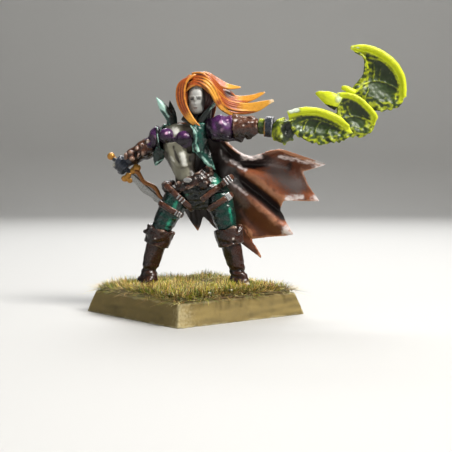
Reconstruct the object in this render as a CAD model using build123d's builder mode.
"""A painted gaming miniature: a cloaked ranger with a dagger and a leaf-plated arm weapon, on a square base.

Frame: millimetres, +Z up, origin at the centre of the base's underside. The figure faces -Y and the weapon
arm reaches out along +X. The square base is turned under the figure. Heights of the figure's own landmarks
are measured from the ground it stands on, so that the figure rides on whatever base it is given.
"""

import math
import os

from build123d import *

# Base
base_side = 25.0
base_height = 3.5
base_inset = 1.1
base_wall = 1.3
base_roof = 1.2
base_turn = 39.0

# Casting tab under the boots, and the slot that takes it
tab_length = 19.0
tab_thickness = 1.5
tab_depth = 2.9
slot_clearance = 0.1

# Ground cover
paste_thickness = 0.5
paste_margin = 0.25
turf_height = 1.3
turf_margin = 0.5
pebble_radius = 0.42
pebble_spots = [(-13.2, 0.6), (-9.5, -4.2), (2.6, -13.2), (-2.4, -7.6), (9.2, -6.4), (14.6, -0.9), (3.2, 10.6)]

# Brass pins in the glued joints
pin_radius = 0.3
pin_length = 2.4
cloak_pin_setback = 1.9

# Body landmarks: x, y, height above the ground
hips_centre = (1.1, 0.9, 15.2)
waist_centre = (-1.5, 0.9, 18.9)
ribs_centre = (-1.7, 0.8, 21.6)
chest_centre = (-2.0, 0.7, 24.0)
shoulder_centre = (-1.2, 0.8, 26.2)
head_centre = (1.0, 0.2, 30.4)
chest_turn = -22.0
face_turn = -10.0

# Body half widths and half depths
crotch_size = (3.4, 1.5)
hips_size = (4.6, 2.2)
belt_size = (3.3, 2.0)
waist_size = (2.2, 1.6)
ribs_size = (3.0, 1.95)
chest_size = (3.7, 2.1)
shoulder_size = (3.3, 1.5)
crotch_drop = 2.6
belt_share = 0.55
neck_radius = 0.95
head_radius = 1.75
head_half_height = 2.4
head_tilt = (0.1, -0.05, 1.0)

# Legs: hip, knee and ankle landmarks, the way each foot points, and the lie of its thigh straps
right_leg = {
    "hip": (-2.6, 1.0, 14.8), "knee": (-5.6, 0.5, 9.0), "ankle": (-7.3, 1.2, 2.7),
    "toe_turn": 222.0, "strap_run": (-0.62, 0.0, -0.78), "strap_shares": (0.1, 0.45),
}
left_leg = {
    "hip": (3.8, 0.6, 14.8), "knee": (5.4, -0.3, 9.0), "ankle": (6.9, -0.3, 2.7),
    "toe_turn": -38.0, "strap_run": (0.5, 0.0, -0.87), "strap_shares": (0.04, 0.38),
}
thigh_radius = 2.1
thigh_middle_radius = 1.95
knee_radius = 1.45
boot_top_radius = 1.55
ankle_radius = 1.2
sole_length = 4.4
sole_width = 2.3
sole_lead = 1.0
cuff_height = 2.2
cuff_rise = 0.6
cuff_thickness = 0.5
cuff_flare = 0.3
strap_width = 0.75
strap_thickness = 0.3

# Clothes
bodice_thickness = 0.3
bodice_drop = 0.1
cup_radius = 1.5
cup_spread = 1.6
cup_lead = 1.45
cup_drop = 0.25
waistcoat_thickness = 0.4
waistcoat_opening = 5.4
tail_length = 4.2
tail_width = 2.6
collar_height = 4.4
collar_width = 2.0
collar_thickness = 0.4
belt_height = 1.1
belt_thickness = 0.4
buckle_size = 1.7
buckle_thickness = 0.5
pouch_size = (1.6, 1.3, 2.0)

# Arms: shoulder, elbow, wrist and hand landmarks
right_arm = [(-5.0, 1.8, 25.0), (-7.2, 2.7, 22.6), (-10.9, 3.4, 20.6), (-12.0, 3.5, 19.7)]
left_arm = [(2.0, -0.3, 25.3), (6.3, -0.9, 25.6), (10.2, -1.3, 25.8), (12.2, -1.6, 25.6)]
sleeve_radius = 1.7
sleeve_end_radius = 1.35
puff_radius = 2.05
puff_start_radius = 1.5
bracer_radius = 1.75
bracer_end_radius = 1.15
left_bracer_radius = 1.95
left_bracer_end_radius = 1.5
fist_radius = 1.45
fist_half_length = 1.2
band_radius = 1.25
ring_radius = 1.65
ring_width = 1.3
socket_flare = 2.1
socket_lip = 1.8
socket_length = 4.0

# Dagger, held in the right hand
dagger_run = (0.76, -0.05, -0.65)
grip_radius = 0.42
grip_length = 4.0
pommel_radius = 0.68
guard_size = (2.9, 0.9, 0.8)
blade_length = 6.6
blade_width = 1.8
blade_thickness = 0.55
blade_point = 2.0

# Leaf-plated arm weapon: outlines as x and height
spine_route = [(15.2, -1.2, 25.2), (20.0, -0.5, 26.0), (25.6, 0.0, 28.2), (29.8, 0.2, 32.4)]
spine_radii = [1.5, 1.2, 1.0, 0.6]
leaf_thickness = 0.9
lower_leaf = [(14.5, 28.3), (18.8, 28.7), (22.9, 27.1), (25.4, 24.4), (21.3, 23.1), (18.3, 23.2), (15.6, 24.6)]
middle_leaf = [(22.4, 30.7), (25.8, 30.1), (28.8, 27.2), (28.0, 24.9), (24.8, 24.1), (23.0, 27.0)]
upper_leaf = [(24.8, 38.3), (29.5, 37.4), (33.3, 33.1), (32.0, 28.7), (27.5, 29.2), (25.4, 31.8), (27.1, 36.0)]
leaf_depths = {"lower_leaf": -2.9, "middle_leaf": -1.7, "upper_leaf": -0.6}
thorn_radius = 0.8
thorn_tip_radius = 0.1
thorns = [((24.0, -0.4, 30.0), (19.0, -1.2, 31.3)), ((25.4, 0.2, 30.4), (23.6, -0.4, 32.2))]

# Hair
hair_thickness = 0.75
hair_shift = (0.2, 0.35, 0.3)
face_opening = 2.7
face_drop = 5.0
lock_depth = 0.62
lock_tip = 0.12
locks = {
    "upper_hair_lock": [(2.4, 1.0, 31.9), (4.6, 1.2, 32.6), (6.0, 1.3, 32.1), (7.8, 1.4, 32.0)],
    "middle_hair_lock": [(2.6, 1.0, 30.6), (5.6, 1.5, 30.3), (8.2, 1.6, 30.6), (11.3, 1.5, 31.2)],
    "long_hair_lock": [(2.2, 0.9, 29.0), (5.6, 0.9, 28.9), (9.2, 1.0, 28.9), (12.8, 0.9, 29.8)],
    "front_hair_lock": [(-0.9, -1.9, 31.6), (-1.5, -2.0, 29.0), (-0.6, -2.3, 27.2), (1.4, -2.4, 25.5)],
}
lock_widths = {"upper_hair_lock": 0.75, "middle_hair_lock": 0.7, "long_hair_lock": 1.1, "front_hair_lock": 0.7}

# Cloak: the folds fan out from the shoulders to the hem
cloak_thickness = 0.7
cloak_folds = 3.0
cloak_steps = 18
cloak_top = {"height": 27.0, "left": -4.2, "right": 23.0, "depth": 3.3, "fold": 0.15}
cloak_foot = {"height": 3.6, "left": -5.0, "right": 27.5, "depth": 5.2, "fold": 1.2}
cloak_outline = [
    (-3.6, 26.6), (3.4, 26.8), (7.0, 22.2), (8.9, 21.2), (13.7, 22.4), (21.3, 19.9), (18.0, 18.6), (18.9, 16.4),
    (20.5, 13.7), (14.3, 13.9), (14.5, 12.4), (16.2, 8.4), (9.7, 7.5), (11.0, 4.2), (7.5, 6.9), (3.5, 9.0),
    (1.4, 11.3), (0.4, 8.8), (-1.5, 12.0), (-2.8, 16.0),
]

ground = base_height + paste_thickness
slot_turn = base_turn - 45.0


def at(place):
    """A landmark, given as x, y and height above the ground, as a point in the part's frame."""
    x, y, height = place
    return Vector(x, y, ground + height)


def heading(turn):
    """The level direction at this many degrees from +X."""
    return Vector(math.cos(math.radians(turn)), math.sin(math.radians(turn)), 0)


def across(centre, along, turn=0.0):
    """A plane square to a limb, with its own x axis level and turned about the vertical."""
    return Plane(origin=centre, x_dir=heading(turn), z_dir=along)


def between(start, end, share):
    """The point that lies this share of the way from start to end."""
    return start + (end - start) * share


def limb(planes, sizes):
    """A smooth solid through ellipses of the given half widths and depths, one on each plane."""
    with BuildPart() as made:
        for plane, (half_width, half_depth) in zip(planes, sizes):
            with BuildSketch(plane):
                Ellipse(half_width, half_depth)
        loft()
    return made.part


def run(points, sizes):
    """A smooth limb along a row of points, square to the row at each of them."""
    planes = []
    for index, point in enumerate(points):
        before = points[max(index - 1, 0)]
        after = points[min(index + 1, len(points) - 1)]
        planes.append(Plane(origin=point, z_dir=after - before))
    return limb(planes, sizes)


def round_run(points, radii):
    """A smooth round limb along a row of points."""
    return run(points, [(radius, radius) for radius in radii])


def egg(centre, radius, half_height, up):
    """An ellipsoid of revolution about its own upright axis."""
    side = Plane(origin=centre, z_dir=up).x_dir
    with BuildPart() as made:
        with BuildSketch(Plane(origin=centre, x_dir=side, z_dir=side.cross(up))):
            Ellipse(radius, half_height)
            Rectangle(2 * radius, 2 * half_height, align=(Align.MAX, Align.CENTER), mode=Mode.SUBTRACT)
        revolve(axis=Axis(centre, up))
    return made.part


def seat(piece, *neighbours):
    """The piece with its neighbours' shapes cut out of it, so that it sits on them face to face."""
    with BuildPart() as made:
        add(piece.solids())
        for neighbour in neighbours:
            add(neighbour.solids(), mode=Mode.SUBTRACT)
    return made.part.solids().sort_by(SortBy.VOLUME)[-1]


def joined(*pieces):
    """One part that holds all of these pieces."""
    with BuildPart() as made:
        for piece in pieces:
            add(piece.solids())
    return made.part


def finish(piece, name):
    """Labels a finished piece and writes it out."""
    piece.label = name
    export_step(piece, os.path.join("parts", name + ".step"))


os.makedirs("parts", exist_ok=True)

# ---------------------------------------------------------------- base

base_plane = Plane.XY.rotated((0, 0, base_turn))
slot_plane = Plane.XY.rotated((0, 0, slot_turn))
wall_taper = math.degrees(math.atan2(base_inset, base_height))
top_side = base_side - 2 * base_inset

with BuildPart() as base_shell:
    with BuildSketch(base_plane):
        Rectangle(base_side, base_side)
    extrude(amount=base_height, taper=wall_taper)
    with BuildSketch(base_plane):
        Rectangle(base_side - 2 * base_wall, base_side - 2 * base_wall)
    extrude(amount=base_height - base_roof, taper=wall_taper, mode=Mode.SUBTRACT)
    with BuildSketch(slot_plane):
        Rectangle(tab_length + 2 * slot_clearance, tab_thickness + 2 * slot_clearance)
    extrude(amount=base_height, mode=Mode.SUBTRACT)

with BuildPart() as slot_tab:
    with BuildSketch(slot_plane.offset(ground)):
        Rectangle(tab_length, tab_thickness)
    extrude(amount=-tab_depth)

with BuildPart() as ground_paste:
    with BuildSketch(base_plane.offset(base_height)):
        RectangleRounded(top_side - 2 * paste_margin, top_side - 2 * paste_margin, 1.0)
    extrude(amount=paste_thickness)
    chamfer(ground_paste.faces().sort_by(Axis.Z)[-1].edges(), paste_thickness / 2)
    add(slot_tab.part, mode=Mode.SUBTRACT)

# ---------------------------------------------------------------- body

hips_at = at(hips_centre)
waist_at = at(waist_centre)
ribs_at = at(ribs_centre)
chest_at = at(chest_centre)
shoulders_at = at(shoulder_centre)
head_at = at(head_centre)
crotch_at = hips_at - Vector(0, 0, crotch_drop)
belt_at = between(hips_at, waist_at, belt_share)
lean = waist_at - hips_at
upright = Vector(0, 0, 1)
chest_front = heading(chest_turn - 90)
chest_side = heading(chest_turn)


def leg_pieces(leg):
    """One leg's thigh and boot."""
    hip, knee, ankle = (at(leg[name]) for name in ("hip", "knee", "ankle"))
    thigh_run = knee - hip
    shin_run = ankle - knee
    knee_plane = across(knee, thigh_run.normalized() + shin_run.normalized())
    radii = (thigh_radius, thigh_middle_radius, knee_radius)
    thigh = limb(
        [across(hip, thigh_run), across(between(hip, knee, 0.5), thigh_run), knee_plane],
        [(radius, radius) for radius in radii],
    )
    toe_way = heading(leg["toe_turn"])
    sole_centre = Vector(ankle.X, ankle.Y, ground) + toe_way * sole_lead
    shaft = limb(
        [knee_plane, across(between(knee, ankle, 0.4), shin_run), Plane(origin=ankle, z_dir=(0, 0, -1))],
        [(knee_radius, knee_radius), (boot_top_radius, boot_top_radius), (ankle_radius, ankle_radius)],
    )
    foot = limb(
        [Plane(origin=ankle, x_dir=toe_way), Plane(origin=sole_centre, x_dir=toe_way)],
        [(ankle_radius, ankle_radius), (sole_length / 2, sole_width / 2)],
    )
    return thigh, joined(shaft, foot)


def boot_cuff(leg, thigh, boot):
    """The turned-over top of one boot."""
    hip, knee, ankle = (at(leg[name]) for name in ("hip", "knee", "ankle"))
    top = knee + (hip - knee).normalized() * cuff_rise
    bottom = knee + (ankle - knee).normalized() * cuff_height
    radius = boot_top_radius + cuff_thickness
    return seat(round_run([top, bottom], [radius + cuff_flare, radius]), thigh, boot)


def thigh_straps(leg, *body):
    """The pair of straps round one thigh."""
    hip, knee = at(leg["hip"]), at(leg["knee"])
    strap_way = Vector(*leg["strap_run"]).normalized()
    spread = 1 / strap_way.dot((knee - hip).normalized())
    radius = thigh_radius + strap_thickness
    straps = []
    for share in leg["strap_shares"]:
        middle = between(hip, knee, share)
        planes = [across(middle, strap_way), across(middle + strap_way * strap_width, strap_way)]
        straps.append(seat(limb(planes, [(radius * spread, radius)] * 2), *body))
    return joined(*straps)


def strap_buckles(leg, straps, thigh):
    """A small buckle on the front of each of one thigh's straps."""
    hip, knee = at(leg["hip"]), at(leg["knee"])
    strap_way = Vector(*leg["strap_run"]).normalized()
    front = Vector(0, -1, 0)
    buckles = []
    for share in leg["strap_shares"]:
        middle = between(hip, knee, share) + strap_way * (strap_width / 2)
        place = middle + front * (thigh_radius + strap_thickness)
        with BuildPart(Plane(origin=place, x_dir=strap_way, z_dir=front)) as buckle:
            Box(strap_width + 0.5, strap_width + 0.3, 2 * buckle_thickness)
        buckles.append(seat(buckle.part, straps, thigh, hips))
    return joined(*buckles)


right_thigh, right_boot = leg_pieces(right_leg)
left_thigh, left_boot = leg_pieces(left_leg)
right_boot_cuff = boot_cuff(right_leg, right_thigh, right_boot)
left_boot_cuff = boot_cuff(left_leg, left_thigh, left_boot)

hip_planes = [Plane(origin=crotch_at), Plane(origin=hips_at), across(belt_at, lean)]
hips = seat(limb(hip_planes, [crotch_size, hips_size, belt_size]), right_thigh, left_thigh)
midriff = limb(
    [across(belt_at, lean), across(waist_at, upright, chest_turn / 2), across(ribs_at, upright, chest_turn)],
    [belt_size, waist_size, ribs_size],
)
chest_planes = [across(place, upright, chest_turn) for place in (ribs_at, chest_at, shoulders_at)]
chest_sizes = [ribs_size, chest_size, shoulder_size]
chest = limb(chest_planes, chest_sizes)

head_egg = egg(head_at, head_radius, head_half_height, Vector(*head_tilt))
neck = round_run([shoulders_at, between(shoulders_at, head_at, 0.7)], [neck_radius, neck_radius])
head = seat(joined(head_egg, neck), chest)

# ---------------------------------------------------------------- clothes


def wrapped(thickness):
    """The chest's own shape, larger all round by this thickness."""
    return limb(chest_planes, [(width + thickness, depth + thickness) for width, depth in chest_sizes])


bodice_band = limb(
    [chest_planes[0].offset(-bodice_drop), chest_planes[1]],
    [(width + bodice_thickness, depth + bodice_thickness) for width, depth in chest_sizes[:2]],
)
bodice = seat(bodice_band, chest, midriff)
cups = []
for way in (-1, 1):
    cup_centre = chest_at + chest_side * (way * cup_spread) + chest_front * cup_lead - upright * cup_drop
    cup_points = [cup_centre + chest_front * (cup_radius * share) for share in (-0.6, 0.2, 0.7, 1.0)]
    cup = round_run(cup_points, [cup_radius * share for share in (1.0, 0.98, 0.7, 0.2)])
    cups.append(seat(cup, bodice, chest))
bodice_cups = joined(*cups)

opening_way = chest_front * (chest_size[1] + waistcoat_thickness + bodice_thickness)
with BuildPart(Plane(origin=chest_at + opening_way, x_dir=chest_side)) as front_opening:
    Box(waistcoat_opening, 2 * opening_way.length, 3 * sleeve_radius + head_half_height)
waistcoat = seat(
    wrapped(bodice_thickness + waistcoat_thickness),
    chest, bodice, bodice_cups, midriff, head, front_opening.part,
)


def waistcoat_tail(way):
    """A pointed flap below the hem of the waistcoat, on the side that way gives."""
    hang = ribs_at + chest_side * (way * (ribs_size[0] + 0.2))
    outward = chest_side * way
    drop = (outward * 0.55 + Vector(0, 0, -0.85)).normalized()
    flat = drop.cross(chest_front)
    with BuildPart() as tail:
        with BuildSketch(Plane(origin=hang, x_dir=drop, z_dir=chest_front)):
            with BuildLine():
                Spline((-0.6, -tail_width / 2), (0.5 * tail_length, -0.35 * tail_width), (tail_length, 0))
                Spline((tail_length, 0), (0.5 * tail_length, 0.35 * tail_width), (-0.6, tail_width / 2))
                Line((-0.6, tail_width / 2), (-0.6, -tail_width / 2))
            make_face()
        extrude(amount=waistcoat_thickness / 2, both=True)
    return seat(tail.part, waistcoat, midriff, chest, bodice)


right_waistcoat_tail = waistcoat_tail(-1)
left_waistcoat_tail = waistcoat_tail(1)


def collar_leaf(foot, lean_out, facing):
    """A tall pointed collar leaf that stands on the waistcoat's shoulder."""
    rise = (Vector(lean_out, 0, 1)).normalized()
    half = collar_width / 2
    with BuildPart() as leaf:
        with BuildSketch(Plane(origin=at(foot), x_dir=rise, z_dir=heading(facing))):
            with BuildLine():
                Spline((-0.8, -0.8 * half), (0.45 * collar_height, -half), (collar_height, 0))
                Spline((collar_height, 0), (0.45 * collar_height, half), (-0.8, 0.8 * half))
                Line((-0.8, 0.8 * half), (-0.8, -0.8 * half))
            make_face()
        extrude(amount=collar_thickness / 2, both=True)
    return seat(leaf.part, waistcoat, chest, head, bodice)


right_collar = collar_leaf((-3.9, 0.9, 26.0), -0.5, -70)
left_collar = collar_leaf((0.9, 0.2, 26.1), 0.6, -70)

belt_out = (belt_size[0] + belt_thickness, belt_size[1] + belt_thickness)
belt_start = belt_at - lean.normalized() * (belt_height / 2)
belt_end = belt_at + lean.normalized() * (belt_height / 2)
waist_belt = seat(limb([across(belt_start, lean), across(belt_end, lean)], [belt_out, belt_out]), hips, midriff)

buckle_way = Vector(-0.2, -1, 0).normalized()
buckle_plane = Plane(origin=belt_at + buckle_way * belt_out[1], x_dir=(1, -0.2, 0), z_dir=buckle_way)
with BuildPart(buckle_plane) as buckle:
    Box(buckle_size, 0.75 * buckle_size, 2 * buckle_thickness)
belt_buckle = seat(buckle.part, waist_belt, hips, midriff)


def pouch(place, turn):
    """A belt pouch that hangs against the hips."""
    width, depth, height = pouch_size
    with BuildPart(Plane(origin=at(place), x_dir=heading(turn))) as made:
        Box(width, depth, height)
        fillet(made.edges().filter_by(Axis.Z), 0.3)
    return seat(made.part, hips, midriff, waist_belt, belt_buckle, right_thigh, left_thigh)


right_pouch = pouch((-3.7, 0.2, 16.3), -70)
left_pouch = pouch((2.0, -1.9, 16.4), 10)

right_straps = thigh_straps(right_leg, right_thigh, hips, right_pouch, left_thigh)
left_straps = thigh_straps(left_leg, left_thigh, hips, left_pouch, right_thigh)
right_strap_buckles = strap_buckles(right_leg, right_straps, right_thigh)
left_strap_buckles = strap_buckles(left_leg, left_straps, left_thigh)

# ---------------------------------------------------------------- right arm and dagger

r_shoulder, r_elbow, r_wrist, r_hand = (at(place) for place in right_arm)
right_sleeve = seat(
    round_run([r_shoulder, r_elbow], [sleeve_radius, sleeve_end_radius]),
    waistcoat, chest, bodice, bodice_cups, midriff, right_waistcoat_tail, right_collar,
)
right_bracer = seat(round_run([r_elbow, r_wrist], [bracer_radius, bracer_end_radius]), right_sleeve, waistcoat)

blade_way = Vector(*dagger_run).normalized()
blade_side = blade_way.cross(Vector(0, -1, 0))
grip_end = r_hand + blade_way * (grip_length / 2)
grip_start = r_hand - blade_way * (grip_length / 2)
dagger_grip = round_run([grip_start, grip_end], [grip_radius, grip_radius])
dagger_pommel = seat(egg(grip_start, pommel_radius, pommel_radius, blade_way), dagger_grip)
right_glove = seat(
    egg(r_hand, fist_radius, fist_half_length, blade_way), right_bracer, dagger_grip, dagger_pommel,
)
with BuildPart(Plane(origin=grip_end, x_dir=blade_side, z_dir=blade_way)) as guard:
    Box(*guard_size)
    fillet(guard.edges().filter_by(GeomType.LINE), 0.2)
dagger_guard = seat(guard.part, dagger_grip, right_glove)
blade_root = grip_end + blade_way * (guard_size[2] / 2)
with BuildPart() as blade:
    with BuildSketch(Plane(origin=blade_root, x_dir=blade_way, z_dir=blade_way.cross(blade_side))):
        with BuildLine():
            Spline((0, -blade_width / 2), (blade_length - blade_point, -blade_width / 2), (blade_length, 0.3))
            Spline((blade_length, 0.3), (blade_length - blade_point, blade_width / 2), (0, blade_width / 2))
            Line((0, blade_width / 2), (0, -blade_width / 2))
        make_face()
    extrude(amount=blade_thickness / 2, both=True)
dagger_blade = seat(blade.part, dagger_guard, dagger_grip, right_thigh, right_straps)

# ---------------------------------------------------------------- left arm and weapon

l_shoulder, l_elbow, l_wrist, l_hand = (at(place) for place in left_arm)
left_sleeve = seat(
    round_run(
        [l_shoulder, between(l_shoulder, l_elbow, 0.55), l_elbow],
        [puff_start_radius, puff_radius, sleeve_radius],
    ),
    waistcoat, chest, bodice, bodice_cups, left_collar, left_waistcoat_tail,
)
left_bracer = seat(
    round_run([l_elbow, l_wrist], [left_bracer_radius, left_bracer_end_radius]), left_sleeve,
)
ring_start = between(l_wrist, l_hand, 0.5)
wrist_band = seat(round_run([l_wrist, ring_start], [band_radius, band_radius]), left_bracer)
hand_way = (l_hand - l_wrist).normalized()
ring_end = ring_start + hand_way * ring_width
hand_ring = seat(round_run([ring_start, ring_end], [ring_radius, ring_radius]), wrist_band)
cup_end = ring_end + Vector(socket_length, -0.5, -0.5)
spine_points = [at(place) for place in spine_route]
weapon_spine = round_run(spine_points, spine_radii)
hand_cup = seat(
    round_run([ring_end, between(ring_end, cup_end, 0.5), cup_end], [band_radius, socket_flare, socket_lip]),
    hand_ring, weapon_spine,
)


def leaf(name, outline):
    """A flat armour leaf with a smooth outline, given as x and height."""
    with BuildPart() as made:
        with BuildSketch(Plane.XZ.offset(-leaf_depths[name])):
            with BuildLine():
                Spline(*[(x, ground + height) for x, height in outline], periodic=True)
            make_face()
        extrude(amount=-leaf_thickness)
    return made.part


upper_plate = seat(leaf("upper_leaf", upper_leaf), weapon_spine)
middle_plate = seat(leaf("middle_leaf", middle_leaf), weapon_spine, upper_plate)
lower_plate = seat(leaf("lower_leaf", lower_leaf), weapon_spine, middle_plate, hand_cup)
thorn_solids = []
for root, tip in thorns:
    thorn = round_run([at(root), at(tip)], [thorn_radius, thorn_tip_radius])
    thorn_solids.append(seat(thorn, weapon_spine, upper_plate, middle_plate, lower_plate))
weapon_thorns = joined(*thorn_solids)

# ---------------------------------------------------------------- hair

hair_egg = egg(
    head_at + Vector(*hair_shift), head_radius + hair_thickness, head_half_height + hair_thickness,
    Vector(*head_tilt),
)
face_at = head_at + heading(face_turn - 90) * head_radius - upright * (head_half_height / 3)
with BuildPart(Plane(origin=face_at, x_dir=heading(face_turn))) as face_gap:
    Box(face_opening, 2.6 * head_radius, face_drop)
hair_cap = seat(hair_egg, head, face_gap.part, waistcoat, left_collar, right_collar, chest, left_sleeve)
hair_pieces = {}
for name, places in locks.items():
    width = lock_widths[name]
    widths = [(width, lock_depth), (width, lock_depth), (0.8 * width, 0.8 * lock_depth), (lock_tip, lock_tip)]
    shape = run([at(place) for place in places], widths)
    hair_pieces[name] = seat(
        shape, head, hair_cap, left_sleeve, left_collar, waistcoat, bodice, bodice_cups, chest,
        *hair_pieces.values(),
    )

# ---------------------------------------------------------------- cloak


def cloak_section(level):
    """The closed outline of the cloak's folds at one level."""
    front, back = [], []
    for step in range(cloak_steps + 1):
        share = step / cloak_steps
        x = level["left"] + share * (level["right"] - level["left"])
        y = level["depth"] + level["fold"] * math.sin(2 * math.pi * cloak_folds * share)
        front.append((x, y))
        back.append((x, y + cloak_thickness))
    return front, back[::-1]


with BuildPart() as cloak_made:
    for level in (cloak_foot, cloak_top):
        near, far = cloak_section(level)
        with BuildSketch(Plane.XY.offset(ground + level["height"])):
            with BuildLine():
                Spline(*near)
                Line(near[-1], far[0])
                Spline(*far)
                Line(far[-1], near[0])
            make_face()
    loft(ruled=True)
    with BuildSketch(Plane.XZ):
        with BuildLine():
            Polyline(*[(x, ground + height) for x, height in cloak_outline], close=True)
        make_face()
    extrude(amount=-2 * cloak_foot["depth"], mode=Mode.INTERSECT)
cloak = seat(
    cloak_made.part, waistcoat, chest, midriff, hips, waist_belt, right_thigh, left_thigh, left_boot,
    left_boot_cuff, right_straps, left_straps, left_sleeve, left_bracer, hair_cap,
)

# ---------------------------------------------------------------- brass pins in the glued joints


def brass_pin(middle, way):
    """A length of brass rod across a glued joint, centred on a point."""
    with BuildPart(Plane(origin=middle, z_dir=way)) as made:
        Cylinder(pin_radius, pin_length)
    return made.part


arm_way = (l_elbow - l_shoulder).normalized()
left_arm_pin = brass_pin(l_shoulder, arm_way)
weapon_pin = brass_pin(ring_end, hand_way)
cloak_pin = brass_pin(chest_at + Vector(0, cloak_pin_setback, 0), Vector(0, 1, 0))
chest = seat(chest, left_arm_pin, cloak_pin)
bodice = seat(bodice, cloak_pin)
waistcoat = seat(waistcoat, left_arm_pin, cloak_pin)
left_sleeve = seat(left_sleeve, left_arm_pin)
hand_ring = seat(hand_ring, weapon_pin)
hand_cup = seat(hand_cup, weapon_pin)
wrist_band = seat(wrist_band, weapon_pin)
cloak = seat(cloak, cloak_pin)

# ---------------------------------------------------------------- ground cover

with BuildPart() as pebble_group:
    for x, y in pebble_spots:
        with Locations((x, y, ground)):
            Sphere(pebble_radius)
    add(ground_paste.part, mode=Mode.SUBTRACT)
    with BuildSketch(Plane.XY.offset(ground)):
        Rectangle(2 * base_side, 2 * base_side)
    extrude(amount=-base_height, mode=Mode.SUBTRACT)
turf_side = top_side - 2 * turf_margin
with BuildPart() as turf_slab:
    with BuildSketch(base_plane.offset(ground)):
        RectangleRounded(turf_side, turf_side, 2.0)
    extrude(amount=turf_height)
turf = seat(turf_slab.part, right_boot, left_boot, pebble_group.part)

# ---------------------------------------------------------------- everything, by name

pieces = {
    "base_shell": base_shell.part,
    "slot_tab": slot_tab.part,
    "ground_paste": ground_paste.part,
    "turf": turf,
    "pebbles": pebble_group.part,
    "right_thigh": right_thigh,
    "left_thigh": left_thigh,
    "right_boot": right_boot,
    "left_boot": left_boot,
    "right_boot_cuff": right_boot_cuff,
    "left_boot_cuff": left_boot_cuff,
    "hips": hips,
    "midriff": midriff,
    "chest": chest,
    "head": head,
    "bodice": bodice,
    "bodice_cups": bodice_cups,
    "waistcoat": waistcoat,
    "right_waistcoat_tail": right_waistcoat_tail,
    "left_waistcoat_tail": left_waistcoat_tail,
    "right_collar": right_collar,
    "left_collar": left_collar,
    "waist_belt": waist_belt,
    "belt_buckle": belt_buckle,
    "right_pouch": right_pouch,
    "left_pouch": left_pouch,
    "right_thigh_straps": right_straps,
    "left_thigh_straps": left_straps,
    "right_strap_buckles": right_strap_buckles,
    "left_strap_buckles": left_strap_buckles,
    "right_sleeve": right_sleeve,
    "right_bracer": right_bracer,
    "right_glove": right_glove,
    "dagger_grip": dagger_grip,
    "dagger_pommel": dagger_pommel,
    "dagger_guard": dagger_guard,
    "dagger_blade": dagger_blade,
    "left_sleeve": left_sleeve,
    "left_bracer": left_bracer,
    "wrist_band": wrist_band,
    "hand_ring": hand_ring,
    "hand_cup": hand_cup,
    "weapon_spine": weapon_spine,
    "lower_leaf": lower_plate,
    "middle_leaf": middle_plate,
    "upper_leaf": upper_plate,
    "weapon_thorns": weapon_thorns,
    "hair_cap": hair_cap,
    **hair_pieces,
    "cloak": cloak,
    "left_arm_pin": left_arm_pin,
    "weapon_pin": weapon_pin,
    "cloak_pin": cloak_pin,
}
for name, piece in pieces.items():
    finish(piece, name)
